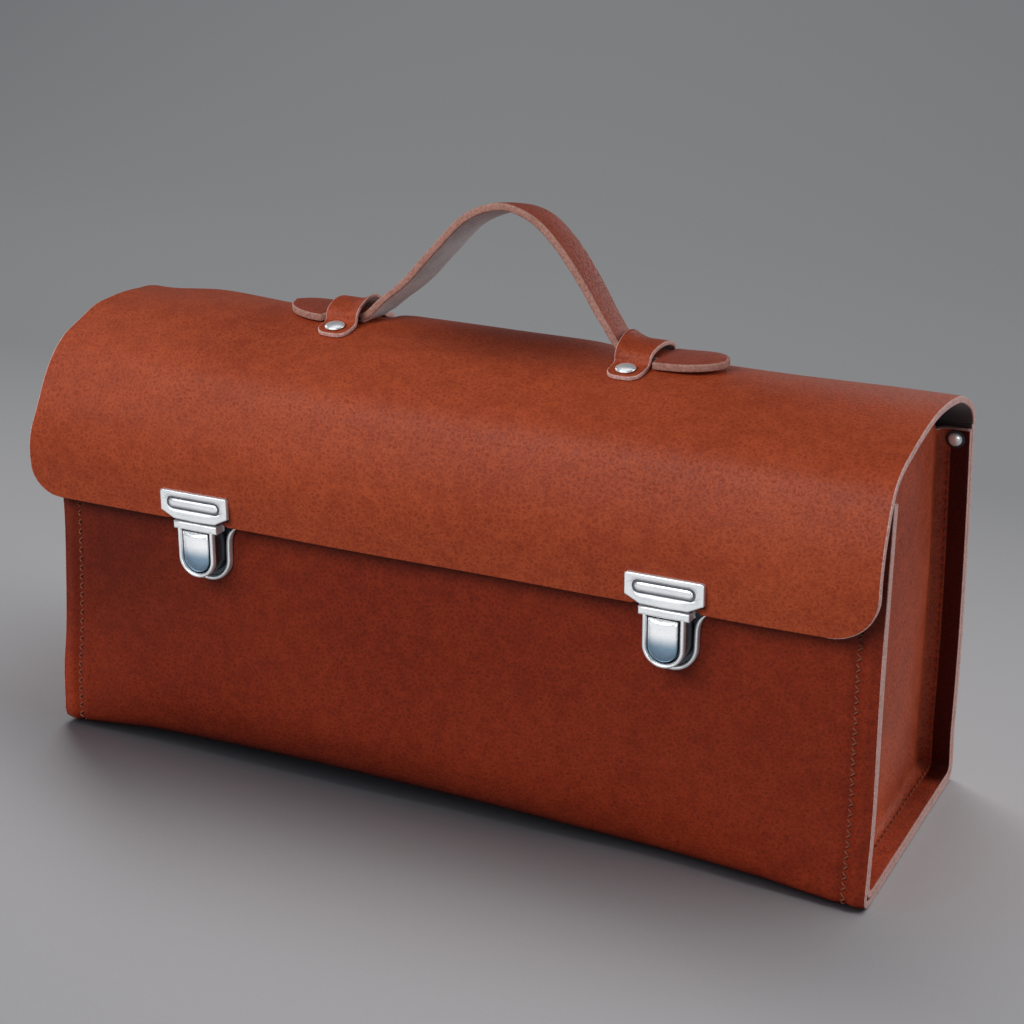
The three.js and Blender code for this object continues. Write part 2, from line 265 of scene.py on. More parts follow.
def ways_out(grain, loop, rim, through, butt_start):
    """Unit vectors that point out of a sheet at its rim. Along a butt edge only its two ends
    have one."""
    rows, columns = grain.shape[:2]
    outward = np.cross(np.roll(rim, -1, axis=0) - np.roll(rim, 1, axis=0), through)
    inner = np.array([grain[min(max(r, 1), rows - 2), min(max(c, 1), columns - 2)]
                      for r, c in loop])
    outward *= np.sign(np.sum(outward * (rim - inner), axis=1))[:, None]
    outward /= np.linalg.norm(outward, axis=1, keepdims=True)
    if butt_start:
        ends = {0: grain[0, 0] - grain[0, 1], columns - 1: grain[0, -1] - grain[0, -2]}
        for k, (r, c) in enumerate(loop):
            if r == 0:
                way = ends.get(c, np.zeros(3))
                outward[k] = way / max(np.linalg.norm(way), 1e-9)
    return outward


def sheet(name, grain, flesh, finishes, radius=0.5, butt_start=False, seam_end=False,
          dyed_end=False):
    """A piece of leather between two grids of points, (rows, columns, 3).

    Its edges are rounded and stand radius outside the grids. butt_start leaves the first row's
    edge flat, to lie against another sheet. seam_end has no edge along the last column, which
    meets itself there and is welded. dyed_end carries the grain over the last row's edge.
    """
    rows, columns = grain.shape[:2]
    loop = rim_of(rows, columns, seam_end)
    index = np.array([r * columns + c for r, c in loop])
    top, under = grain.reshape(-1, 3), flesh.reshape(-1, 3)
    through = top[index] - under[index]
    through /= np.linalg.norm(through, axis=1, keepdims=True)
    outward = ways_out(grain, loop, top[index], through, butt_start)
    turns = np.radians(EDGE_STEPS)
    rings = [top[index] + radius * ((math.cos(a) - 1) * through + math.sin(a) * outward)
             for a in turns]
    rings += [under[index] + radius * ((1 - math.cos(a)) * through + math.sin(a) * outward)
              for a in turns[::-1]]
    count, around = rows * columns, len(loop)
    faces = grid_faces(rows, columns) + grid_faces(rows, columns, count)
    face_finish = [0] * (len(faces) // 2) + [1] * (len(faces) // 2)
    bands = [index] + [2 * count + k * around + np.arange(around) for k in range(len(rings))]
    bands.append(count + index)
    for band, (near, far) in enumerate(zip(bands, bands[1:])):
        for k in range(around):
            after = (k + 1) % around
            if seam_end and k == columns - 1:
                continue
            faces.append((near[k], near[after], far[after], far[k]))
            at_end = loop[k][0] == loop[after][0] == rows - 1
            dyed = dyed_end and band < DYED_BANDS and at_end
            face_finish.append(0 if dyed else 2)
    points = np.concatenate([top, under, *rings])
    piece = make_mesh(name, points, faces, finishes, face_finish, weld=seam_end)
    if butt_start:
        sharpen_row(piece, grain[0])
    return piece


def sharpen_row(piece, row):
    """Keeps the shading of a sheet's face apart from its flat butt edge."""
    ends = {tuple(np.round(p * MM, 7)) for p in row}
    mesh = piece.data
    near = [tuple(np.round(np.array(v.co), 7)) in ends for v in mesh.vertices]
    sharp = mesh.attributes.new("sharp_edge", "BOOLEAN", "EDGE")
    sharp.data.foreach_set("value", [near[e.vertices[0]] and near[e.vertices[1]]
                                     for e in mesh.edges])


def stack(name, loops, finishes, angle=40.0, bands=()):
    """A closed piece through loops of points, each with as many points, closed at both ends.

    The bands between loops whose numbers are in bands take the second finish.
    """
    around = len(loops[0])
    points = np.concatenate([np.asarray(loop, float) for loop in loops])
    faces = tube_faces(len(loops), around)
    face_finish = [0] * len(faces)
    for band in bands:
        face_finish[1 + band * around:1 + (band + 1) * around] = [1] * around
    piece = make_mesh(name, points, faces, finishes, face_finish)
    piece.data.set_sharp_from_angle(angle=math.radians(angle))
    return piece


def soften(name, node, finish, width, front):
    """A copy of a CAD node's solid, cut off before a front y, with its sharp edges rounded."""
    work = bmesh.new()
    work.from_mesh(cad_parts[node].data)
    bmesh.ops.remove_doubles(work, verts=work.verts, dist=2e-6)
    bmesh.ops.bisect_plane(work, geom=[*work.verts, *work.edges, *work.faces],
                           plane_co=(0, front * MM, 0), plane_no=(0, -1, 0), clear_outer=True)
    bmesh.ops.holes_fill(work, edges=[e for e in work.edges if e.is_boundary])
    bmesh.ops.dissolve_limit(work, angle_limit=math.radians(1), verts=work.verts,
                             edges=work.edges)
    sharp = [e for e in work.edges
             if len(e.link_faces) == 2 and e.calc_face_angle(0) > math.radians(35)]
    bmesh.ops.bevel(work, geom=sharp, offset=width * MM, segments=3, profile=0.5,
                    affect="EDGES", clamp_overlap=True)
    for face in work.faces:
        face.smooth = True
        face.material_index = 0
    mesh = bpy.data.meshes.new(name)
    work.to_mesh(mesh)
    work.free()
    mesh.materials.clear()
    mesh.materials.append(finish)
    mesh.set_sharp_from_angle(angle=math.radians(28))
    return add_object(name, mesh)


def stand_for(piece, body, *nodes, slot):
    """Puts a piece on a body, in place of CAD nodes."""
    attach(piece, body)
    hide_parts(*nodes)


# ---- Materials ----

class Nodes:
    """A short way to build a material's node tree. Places are the object's own coordinates, so
    scales are per metre, and distances are in metres."""

    def __init__(self, name):
        self.material = bpy.data.materials.new(name)
        self.material.use_nodes = True
        self.tree = self.material.node_tree
        self.shader = self.tree.nodes["Principled BSDF"]
        self.place = self.add("ShaderNodeTexCoord").outputs["Object"]

    def add(self, kind, **inputs):
        node = self.tree.nodes.new(kind)
        for key, value in inputs.items():
            self.set(node, key.replace("_", " "), value)
        return node

    def set(self, node, key, value):
        socket = node.inputs[int(key)] if key.isdigit() else node.inputs[key]
        if isinstance(value, bpy.types.NodeSocket):
            self.tree.links.new(value, socket)
        else:
            socket.default_value = (*value, 1) if socket.type == "RGBA" else value

    def noise(self, scale, detail=3.0, roughness=0.55, distortion=0.0):
        node = self.add("ShaderNodeTexNoise", Vector=self.place, Scale=scale, Detail=detail,
                        Roughness=roughness, Distortion=distortion)
        return node.outputs["Fac"]

    def cells(self, scale, place, feature="DISTANCE_TO_EDGE"):
        node = self.add("ShaderNodeTexVoronoi", Vector=place, Scale=scale)
        node.feature = feature
        return node.outputs["Distance"]

    def axis(self, name):
        """One of the object's own coordinates."""
        return self.add("ShaderNodeSeparateXYZ", Vector=self.place).outputs[name]

    def ramp(self, value, *stops):
        node = self.add("ShaderNodeValToRGB", Fac=value)
        elements = node.color_ramp.elements
        while len(elements) < len(stops):
            elements.new(0.5)
        for element, (at, colour) in zip(elements, stops):
            element.position = at
            element.color = (*colour, 1)
        return node.outputs["Color"]

    def mix(self, share, a, b, blend="MIX"):
        node = self.tree.nodes.new("ShaderNodeMix")
        node.data_type = "RGBA"
        node.blend_type = blend
        for key, value in (("0", share), ("6", a), ("7", b)):    # factor, both colours
            self.set(node, key, value)
        return node.outputs[2]

    def math(self, operation, a, b=0.0):
        node = self.tree.nodes.new("ShaderNodeMath")
        node.operation = operation
        self.set(node, "0", a)
        self.set(node, "1", b)
        return node.outputs[0]

    def range(self, value, low, high, to_low=0.0, to_high=1.0):
        node = self.add("ShaderNodeMapRange", Value=value, From_Min=low, From_Max=high,
                        To_Min=to_low, To_Max=to_high)
        node.interpolation_type = "SMOOTHSTEP"
        return node.outputs["Result"]

    def warped(self, amount, scale):
        """The object's own coordinates, pushed about by noise."""
        push = self.add("ShaderNodeTexNoise", Vector=self.place, Scale=scale, Detail=2.0)
        return self.vectors("MULTIPLY_ADD", push.outputs["Color"], (amount, amount, amount),
                            self.place).outputs[0]

    def vectors(self, operation, *values):
        node = self.add("ShaderNodeVectorMath")
        node.operation = operation
        for k, value in enumerate(values):
            self.set(node, str(k), value)
        return node

    def spot(self, centre, radii):
        """1 at the centre, falling smoothly to 0 at the radii."""
        scaled = self.vectors("MULTIPLY_ADD", self.place, tuple(1 / r for r in radii),
                              tuple(-c / r for c, r in zip(centre, radii)))
        away = self.vectors("LENGTH", scaled.outputs[0])
        return self.range(away.outputs["Value"], 1.0, 0.0)

    def tinted(self, share, colour, tint):
        """The colour multiplied by the tint, where the share is 1."""
        return self.mix(share, colour, self.mix(1.0, colour, tint, "MULTIPLY"))

    def bump(self, height, strength, distance, before=None):
        node = self.add("ShaderNodeBump", Height=height, Strength=strength, Distance=distance)
        if before is not None:
            self.set(node, "Normal", before)
        return node.outputs["Normal"]

    def finish(self, **sockets):
        for key, value in sockets.items():
            self.set(self.shader, key.replace("_", " "), value)
        return self.material


def srgb(red, green, blue):
    """A linear colour from 0 to 255 display values."""
    def linear(v):
        v /= 255
        return v / 12.92 if v <= 0.04045 else ((v + 0.055) / 1.055) ** 2.4
    return tuple(linear(v) for v in (red, green, blue))


def front_side(n):
    """A mask for the front of the bag."""
    return n.range(n.axis("Y"), 0.02, -0.04)


def back_strip(n):
    """A mask for the part of the back flanges that lies outside the seam, where shade is painted.
    """
    outer = n.range(n.math("ABSOLUTE", n.axis("X")), BACK_STRIP_X - 0.0005, BACK_STRIP_X)
    return n.math("MULTIPLY", outer, n.range(n.axis("Y"), 0.04, 0.05))


def spot_at(centre, radii):
    """A mask for a soft spot."""
    return lambda n: n.spot(centre, radii)


def leather(name, light, dark, tints=(), gloss=0.44, shine=0.22):
    """Dyed, lightly glazed cowhide: soft cloudy dye, fine pebbles and thin pale veins where it
    has worn. Each of the tints is a mask and the painted shade or painted light that it multiplies
    in there."""
    n = Nodes(name)
    clouds = n.noise(11.0, detail=3.0, roughness=0.5)
    mottle = n.noise(120.0, detail=5.0, roughness=0.68)
    speckle = n.noise(1300.0, detail=2.0, roughness=0.6)
    pebble = n.cells(1050.0, n.warped(0.001, 700.0), "SMOOTH_F1")
    veins = n.cells(400.0, n.warped(0.003, 260.0))
    height = n.range(pebble, 0.15, 0.85, 1.0, 0.0)
    tone = n.math("ADD", n.math("MULTIPLY", clouds, 0.6), n.math("MULTIPLY", mottle, 0.4))
    colour = n.ramp(tone, (0.22, dark), (0.74, light))
    colour = n.mix(n.range(speckle, 0.35, 0.7, 0.0, 0.46), colour, dark)
    colour = n.mix(n.range(height, 0.0, 0.8, 0.56, 0.0), colour, dark)
    worn = n.math("MULTIPLY", n.range(veins, 0.0, 0.24, 0.36, 0.0),
                  n.range(mottle, 0.35, 0.6, 0.4, 0.9))
    colour = n.mix(worn, colour, tuple(1.25 * part for part in light))
    for mask, tint in tints:
        colour = n.tinted(mask(n), colour, tint)
    rough = n.math("ADD", n.math("MULTIPLY", n.math("SUBTRACT", mottle, 0.5), 0.2),
                   n.range(height, 0.0, 1.0, gloss + 0.14, gloss))
    normal = n.bump(height, 0.3, 0.0003)
    normal = n.bump(speckle, 0.2, 0.0002, normal)
    normal = n.bump(mottle, 0.14, 0.001, normal)
    return n.finish(Base_Color=colour, Roughness=rough, Normal=normal,
                    Specular_IOR_Level=shine)


def suede(name, light, dark):
    """The flesh side: matt, fibrous and a little fuzzy."""
    n = Nodes(name)
    clouds = n.noise(55.0, detail=5.0, roughness=0.7)
    fibre = n.noise(1500.0, detail=3.0, roughness=0.7, distortion=0.8)
    colour = n.mix(n.range(fibre, 0.35, 0.7), n.ramp(clouds, (0.35, dark), (0.65, light)), light)
    normal = n.bump(fibre, 0.6, 0.0004)
    return n.finish(Base_Color=colour, Roughness=n.range(fibre, 0.3, 0.7, 0.82, 0.96),
                    Normal=normal, Sheen_Weight=0.35, Sheen_Roughness=0.5)


def raw_edge(name, light, dark):
    """A cut edge: pale pinkish fibres in layers, a little darker where the dye crept in."""
    n = Nodes(name)
    fibre = n.noise(900.0, detail=4.0, roughness=0.7)
    dye = n.noise(160.0, detail=3.0)
    colour = n.ramp(fibre, (0.3, dark), (0.62, light))
    colour = n.mix(n.range(dye, 0.5, 0.75, 0.0, 0.5), colour, dark)
    return n.finish(Base_Color=colour, Roughness=n.range(fibre, 0.3, 0.7, 0.6, 0.85),
                    Normal=n.bump(fibre, 0.5, 0.0003))


BUTTON_REFLECTION_FADE = (0.1115, 0.1045)  # heights between which a button's face fades into a painted reflection


def metal(name, colour, dark, roughness, metallic=1.0, low=None):
    """Plated metal with faint polishing marks and handling haze. low is the colour of a painted
    reflection that a button's face turns to at its lower end."""
    n = Nodes(name)
    haze = n.noise(90.0, detail=4.0, roughness=0.6)
    marks = n.noise(2400.0, detail=2.0, distortion=1.5)
    tone = n.ramp(haze, (0.3, dark), (0.6, colour))
    if low is not None:
        tone = n.mix(n.range(n.axis("Z"), *BUTTON_REFLECTION_FADE), tone, low)
    rough = n.math("ADD", n.range(haze, 0.35, 0.7, roughness, roughness + 0.07),
                   n.math("MULTIPLY", marks, 0.04))
    return n.finish(Base_Color=tone, Metallic=metallic, Roughness=rough,
                    Normal=n.bump(marks, 0.04, 0.0001))


def thread(name, light, dark):
    """Waxed thread with a twist and a little fuzz."""
    n = Nodes(name)
    twist = n.add("ShaderNodeTexWave", Vector=n.place, Scale=900.0, Distortion=1.5)
    twist.bands_direction = "DIAGONAL"
    fuzz = n.noise(1800.0, detail=2.0)
    colour = n.ramp(twist.outputs["Fac"], (0.2, dark), (0.8, light))
    colour = n.mix(n.range(fuzz, 0.3, 0.7, 0.0, 0.5), colour, dark)
    return n.finish(Base_Color=colour, Roughness=n.range(fuzz, 0.3, 0.7, 0.55, 0.75),
                    Normal=n.bump(twist.outputs["Fac"], 0.5, 0.0002))


def backdrop_paper():
    """Pale seamless paper that falls into shade towards the back."""
    n = Nodes("backdrop_paper")
    back = n.range(n.axis("Y"), -0.1, 1.0)
    tooth = n.noise(700.0, detail=2.0)
    colour = n.ramp(back, (0.0, srgb(184, 183, 184)), (0.5, srgb(150, 150, 151)),
                    (1.0, srgb(154, 154, 155)))
    colour = n.mix(n.range(tooth, 0.3, 0.7, 0.0, 0.03), colour, srgb(120, 120, 120))
    return n.finish(Base_Color=colour, Roughness=n.range(tooth, 0.3, 0.7, 0.55, 0.6),
                    Specular_IOR_Level=0.3)


# Painted shade and painted light on the leather: masks, and the tints that they multiply in.
# painted shade over the whole front from the overhead light, on leather that is also dyed a little
# darker there
SHADED_FRONT = (front_side, srgb(196, 158, 140))
# painted shade on the back flanges outside the seam
BACK_STRIP_SHADE = (back_strip, srgb(116, 81, 77))
# painted shadow of the handle on the crown between the loops
HANDLE_SHADOW = (spot_at((0.0115, 0.0037, 0.2), (0.096, 0.0463, 0.1)), srgb(158, 142, 136))
# painted shade under the left end of the flap, on the front
UNDER_FLAP_SHADE = (spot_at((-0.165, -0.066, 0.1), (0.075, 0.05, 0.06)), srgb(200, 196, 204))
# painted shade along the foot of the front, darker towards the ground
FOOT_SHADE = (spot_at((-0.05, -0.066, -0.004), (0.25, 0.06, 0.036)), srgb(140, 132, 140))
# painted highlight on the rounded border strip at the left end of the front
END_HIGHLIGHT = (spot_at((-0.2, -0.066, 0.006), (0.015, 0.05, 0.07)), (1.6, 1.7, 1.8))
# painted light on the low front of each end panel
GUSSET_FOOT_LIGHT = [(spot_at((side * 0.19, -0.038, 0.01), (0.04, 0.075, 0.06)), (1.6, 1.8, 1.9))
          for side in SIDES.values()]

GRAIN = leather("flap_leather", srgb(182, 82, 46), srgb(132, 46, 23), [HANDLE_SHADOW], gloss=0.5,
                shine=0.2)
BODY_GRAIN = leather("body_leather", srgb(192, 88, 50), srgb(129, 44, 21),
                     [SHADED_FRONT, UNDER_FLAP_SHADE, FOOT_SHADE, END_HIGHLIGHT])
GUSSET_GRAIN = leather("gusset_leather", srgb(194, 88, 54), srgb(130, 45, 24),
                       [BACK_STRIP_SHADE, *GUSSET_FOOT_LIGHT], gloss=0.46, shine=0.2)
STRAP_GRAIN = leather("strap_leather", srgb(164, 76, 54), srgb(122, 50, 34), gloss=0.46)
FLESH = suede("flesh_side", srgb(74, 68, 68), srgb(48, 44, 45))
STRAP_FLESH = suede("strap_flesh_side", srgb(206, 212, 214), srgb(150, 150, 153))
RAW = raw_edge("raw_edge", srgb(226, 184, 176), srgb(172, 122, 110))
STRAP_RAW = raw_edge("strap_raw_edge", srgb(186, 140, 126), srgb(140, 90, 76))
NICKEL = metal("nickel", srgb(229, 231, 232), srgb(212, 216, 220), 0.26, metallic=0.7)
# the face takes a painted reflection, blue-grey towards its lower end
BUTTON = metal("button_nickel", srgb(248, 249, 250), srgb(232, 235, 238), 0.22, metallic=0.75,
               low=srgb(120, 146, 166))
# painted shade in the groove round the hasp's raised oblong
GROOVE_SHADE = metal("nickel_groove_shade", srgb(138, 140, 146), srgb(112, 114, 120), 0.4)
# dark nickel as painted shade: in the lock's gaps, on its walls and on the washers round the end
# rivets' heads
NICKEL_SHADE = metal("shade_painted_nickel", srgb(74, 80, 88), srgb(46, 50, 56), 0.3)
STEEL = metal("spring_steel", srgb(170, 172, 176), srgb(120, 122, 126), 0.3)
THREAD = thread("thread", srgb(160, 88, 64), srgb(112, 56, 40))


# ---- Body and flap ----

def drift(points, size, amount, seed):
    """Slow unevenness, one number for each point."""
    flat = points.reshape(-1, 3)
    shift = Vector((seed * 17.0, seed * 5.0, seed * 11.0))
    values = [noise.noise(Vector(p) / size + shift) * amount for p in flat]
    return np.array(values).reshape(points.shape[:-1])


def columns_for(half, edge=17.0, fine=0.9, coarse=3.0):
    """Places along x from -half to half, closer together near the ends."""
    ends = np.linspace(0, edge, int(edge / fine) + 1)
    middle = np.linspace(-half + edge, half - edge, int(2 * (half - edge) / coarse))
    return np.concatenate([-half + ends[:-1], middle, (half - ends[:-1])[::-1]])


# How far the crown rises: over the middle, on the ridge between the loops, and at the left end,
# where the last curve makes a low ridge. As (y, rise).
CROWN_SWELL = spline([(-66, 0), (-45, 1.0), (-30, 2.5), (-15, 3.0), (0, 2.6), (12, 1.4),
                      (25, -0.5), (38, -1.6), (50, -1.0), (62, 0)], 6)
RIDGE_SWELL = spline([(-14, 0), (0, 1.8), (12, 2.5), (25, 2.3), (38, 1.2), (55, 0)], 6)
END_SWELL = spline([(-58, 0), (-42, 1.0), (-29, 2.6), (-19, 1.9), (-8, 1.1), (10, 0)], 6)
END_RIDGE = spline([(-2, 0), (12, 0.6), (30, 1.3), (45, 1.2), (60, 0)], 6)
# How far the left end is drawn in, on the body and on the flap's skirt. As (z, shift).
WRAP_DRAW = spline([(0, -3.2), (12, -2.2), (30, -0.5), (50, 2.8), (73, 5.1), (105, 7.2),
                    (125, 6.6), (150, 3.4), (163, 2.6), (178, 3.4), (188, 5.4), (197, 6.6)], 6)
SKIRT_DRAW = spline([(115, -1.6), (136, -1.2), (150, 0.0), (163, 2.6), (178, 3.4), (188, 5.4),
                     (197, 6.6)], 6)
# How far the front's bottom edge stands off the ground, as (x, rise).
ARCH = spline([(-200, 0), (-150, 2.8), (-90, 4.3), (-40, 4.6), (20, 3.8), (68, 2.3), (111, 0.7),
               (152, 0.3), (200, 0)], 6)


def along_curve(value, curve):
    return np.interp(value, curve[:, 0], curve[:, 1])


def end_draw(x, y, z):
    """Along x: the left end is drawn in at the front, and its lower corner is rounded."""
    behind = -20 + 50 * fade(z, 178, 190)
    skirt = fade(y, -68, -72)
    draw = skirt * along_curve(z, SKIRT_DRAW) + (1 - skirt) * along_curve(z, WRAP_DRAW)
    tuck = 1 - np.sqrt(1 - np.clip((9 - z) / 9, 0, 1) ** 2)
    return (fade(x, -150, -200) * fade(y - behind, 0, -35) * draw
            + 4.2 * tuck * fade(x, -184, -200) * fade(y, -30, -60))


def side_draw(x, y, z):
    """Along y: the back is drawn in at both ends, and the front's shoulder at the left end.
    The right front corner has spread."""
    back = 4.6 * fade(np.abs(x), 90, 200) * fade(y, 15, 60) * fade(z, 0, 30)
    shoulder = 3.6 * bell(y, -66, 14) * bell(z, 183, 16) * fade(x, -60, -200)
    spread = 6.0 * fade(x, 100, 200) * fade(y, -25, -60) * bell(z, 0, 30)
    return shoulder - back - spread


def crown_rise(x, y, z):
    """Along z: the crown is swollen, and slopes down to the right."""
    middle = 1 - fade(np.abs(x), 100, 190)
    between_loops = (1 - fade(x, 36, 60)) * (1 - fade(x, -52, -61)) * fade(z, 204, 200)
    rise = along_curve(y, CROWN_SWELL) * middle * fade(z, 225, 205)
    rise += along_curve(y, RIDGE_SWELL) * between_loops
    rise += along_curve(y, END_SWELL) * fade(x, -110, -180)
    rise += along_curve(y, END_RIDGE) * (fade(x, -115, -160) - 2.3 * fade(x, -160, -196))
    dip = CROWN_DIP * np.where(x > 0, 0.5 * x, x) * fade(z, 168, 194)
    return rise * fade(z, 180, 188) - dip


def foot_rise(x, y, z):
    """Along z: the front's bottom edge arches off the ground, most at the left of the middle."""
    return along_curve(x, ARCH) * fade(y, 15, -45) * fade(z, 34, 0)


def settle(points):
    """Points moved the way the bag has worn in."""
    x, y, z = points[..., 0], points[..., 1], points[..., 2]
    return np.stack([x + end_draw(x, y, z), y + side_draw(x, y, z),
                     z + crown_rise(x, y, z) + foot_rise(x, y, z)], -1)


def extruded(line, s, x, distance):
    """Points at lengths s and places x, both rows by columns, moved in by a distance."""
    at = line.offset(np.broadcast_to(s, x.shape), distance)
    return np.stack([x, at[..., 0], at[..., 1]], -1)


def body_relief(x, s, points):
    """How far the wrap's outer face stands proud: bulges, the seam's ridge and its groove."""
    height = points[..., 2]
    front = fade(points[..., 1], -40, -55)
    bulge = 2.4 * front * (1 - (x / HALF_LENGTH) ** 2) * bell(height, 26, 26)
    bulge += 2.4 * fade(np.abs(x), 150, 190) * bell(s, CORNER_S, 4.5)
    past_seam = np.abs(x) - SEAM_X
    groove = -0.8 * bell(past_seam, 0, 1.7)
    pad = 1.0 * bell(past_seam, 4.6, 2.6) + 0.4 * bell(past_seam, -4.5, 3.0)
    lock = bell(np.abs(x), LOCK_X, 26) * bell(height, 105, 30)
    wave = drift(points, 70.0, 0.9, 1) * (1 - np.clip(lock * front, 0, 1))
    low = fade(height, 0, 6)
    return (bulge + groove + pad) * np.clip(low + 0.3, 0, 1) + wave * low


def build_body():
    """The front, the bottom and the back, as one sheet."""
    radius = 0.35
    s = np.concatenate([[radius], np.arange(2.6, BODY_LINE.length - 1.0, 2.6),
                        [BODY_LINE.length - 0.9, BODY_LINE.length]])[:, None]
    columns = columns_for(HALF_LENGTH - radius)
    x = np.broadcast_to(columns, (len(s), len(columns)))
    face = extruded(BODY_LINE, s, x, np.zeros(x.shape))
    relief = -body_relief(x, s, face) * fade(BODY_LINE.length - s, 2, 27)
    grain = settle(extruded(BODY_LINE, s, x, relief))
    flesh = settle(extruded(BODY_LINE, s, x, relief + WRAP))
    grain[..., 2] = np.maximum(grain[..., 2], 0)
    piece = sheet("body", grain[::-1], flesh[::-1], [BODY_GRAIN, FLESH, RAW], radius,
                  butt_start=True)
    stand_for(piece, "case", "body_sheet", slot="wrap_leather")


def flap_columns(s, last, radius):
    """Places along x for each length s, out to the rounded corners at the skirt's end."""
    shares = columns_for(1.0, edge=0.07, fine=0.005, coarse=0.0155)
    x = np.zeros((len(s), len(shares)))
    for name, side in SIDES.items():
        corner = FLAP_CORNERS[name] - radius
        left = np.clip(s - (last - corner), 0, corner)
        width = HALF_FLAP - radius - corner + np.sqrt(np.maximum(corner**2 - left**2, 0))
        here = shares * side > 0
        x[:, here] = width[:, None] * shares[None, here]
    return x


def build_flap():
    """The flap, from the top of the back to the edge of its skirt."""
    radius = 0.5
    last = FLAP_LINE.length - radius
    deepest = max(FLAP_CORNERS.values()) - radius
    s = np.concatenate([
        [FLAP_START, FLAP_START + 0.9], np.arange(FLAP_START + 2.2, last - deepest - 1, 2.4),
        last - deepest + deepest * np.cos(np.radians(np.linspace(90, 0, 13))),
    ])
    x = flap_columns(s, last, radius)
    from_lock = np.abs(np.abs(x) - LOCK_X)
    behind_hasp = 1 - fade(from_lock, HASP_HALF, HASP_HALF + 5)
    s_at = s[:, None] - FLAP_DROP * behind_hasp * fade(s - last, -16, 0)[:, None]
    face = extruded(FLAP_LINE, s_at, x, np.zeros(x.shape))
    height = face[..., 2]
    hasp = bell(from_lock, 0, 24) * bell(height, 128, 14)
    loops = bell(np.abs(x), LOOP_X, 30) * fade(height, 186, 191)
    calm = fade(s - FLAP_START, 2, 27)[:, None] * np.clip(1 - hasp - loops, 0, 1)
    relief = -drift(face, 85.0, 1.0, 2) * calm
    grain = settle(extruded(FLAP_LINE, s_at, x, relief))
    flesh = settle(extruded(FLAP_LINE, s_at, x, relief + WRAP))
    piece = sheet("flap", grain, flesh, [GRAIN, FLESH, RAW], radius, butt_start=True,
                  dyed_end=True)
    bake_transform(piece)
    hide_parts("flap_sheet")


# ---- Gussets ----

LEVEL_STEP = 3.0  # between rows, up the front and the back
SPINE_LOW = 48.0  # a panel's middle line runs from here
SPINE_TOP = 170.0  # to here
SPINE_Y = -1.0
FAN_Z = 30.0  # below this, the rows fan out from its lowest point
FAN_ROWS = 74


def gusset_stations():
    """Lengths along the body line: down the front, round the bottom, up the back, and for each
    the height of the middle line that its row runs to."""
    top_front = 0.9
    front_end = BODY_LINE.find(1, FAN_Z, (0, 0.5))
    back_start = BODY_LINE.find(1, FAN_Z, (0.6, 1))
    back_top = BODY_LINE.find(1, FLANGE_BACK_TOP, (0.6, 1))
    count = int((front_end - top_front) / LEVEL_STEP)
    front = np.linspace(top_front, front_end, count)
    back = np.linspace(back_start, back_top, count)
    under = np.linspace(front_end, back_start, FAN_ROWS + 2)[1:-1]
    heights = np.interp(BODY_LINE.at(front)[:, 1], [FAN_Z, FLANGE_BACK_TOP],
                        [SPINE_LOW, SPINE_TOP])
    return (np.concatenate([front, under, back]),
            np.concatenate([heights, np.full(FAN_ROWS, SPINE_LOW), heights[::-1]]))


def crown_lift(y, z):
    """Raises the top of the panel to follow the inside of the flap."""
    s = np.linspace(FLAP_LINE.find(0, 57), FLAP_LINE.find(0, -61), 60)
    inside = FLAP_LINE.offset(s, WRAP + 1.4)
    arch = np.interp(y, inside[::-1, 0], inside[::-1, 1]) - 174.5
    return arch * fade(y, -58, -48) * fade(y, 52, 42) * fade(z, 96, 172)


def panel_puff(rows, inside, side):
    """How far the panel stands out of its plane: domed over its middle, and uneven."""
    room = np.clip(1 - (rows[..., 1] / 56) ** 2, 0, 1)
    room *= np.clip(1 - ((rows[..., 2] - 92) / 86) ** 2, 0, 1)
    flat = np.stack([rows[..., 1], rows[..., 2], np.full(room.shape, side * 40.0)], -1)
    return inside * (3.2 * room ** 0.7 + drift(flat, 42.0, 1.5, 3) * np.clip(room * 3, 0, 1))


def build_gusset(name, side):
    """A flange turned out, the fold, and the panel from the fold to its middle line."""
    radius = 0.25
    s, spine_z = gusset_stations()
    flange = np.linspace(HALF_LENGTH - radius - 0.2, PANEL_X + FOLD, 10)
    turn = np.radians(np.linspace(0, 90, 7)[1:])
    across = np.linspace(0, 1, 24)[1:]
    wall = BODY_LINE.offset(s, np.full(s.shape, FLANGE_DEPTH))
    inward = BODY_LINE.normal(s)
    spine = np.stack([np.full(s.shape, SPINE_Y), spine_z], -1)
    start = wall + inward * FOLD
    rows = []
    for near in (0.0, GUSSET + FIT - 0.04):
        reach = FOLD + near
        columns = [(x, wall - inward * near) for x in flange]
        columns += [(PANEL_X + FOLD - reach * math.sin(angle),
                     wall + inward * (FOLD - reach * math.cos(angle))) for angle in turn]
        columns += [(PANEL_X - near, start + (spine - start) * t) for t in across]
        rows.append(np.stack([np.column_stack([np.full(len(s), x), p]) for x, p in columns], 1))
    inside = fade(PANEL_X + FOLD - rows[0][..., 0], 0, FOLD)
    lift = crown_lift(rows[0][..., 1], rows[0][..., 2]) * inside
    puff = panel_puff(rows[0], inside, side)
    for grid in rows:
        grid[..., 2] += lift
        grid[..., 0] += puff
        grid[..., 0] *= side
    grain, flesh = (settle(grid) for grid in rows)
    piece = sheet(f"gusset_{name}", grain, flesh, [GUSSET_GRAIN, FLESH, RAW], radius,
                  seam_end=True)
    stand_for(piece, "case", f"gusset_{name}", slot="gusset_leather")


# ---- Stitches ----

THREAD_RADIUS = 0.44
STITCH_RISE = 0.34  # of a stroke's middle, over its ends
STITCH_SUNK = 0.16  # ends of a stroke under the leather


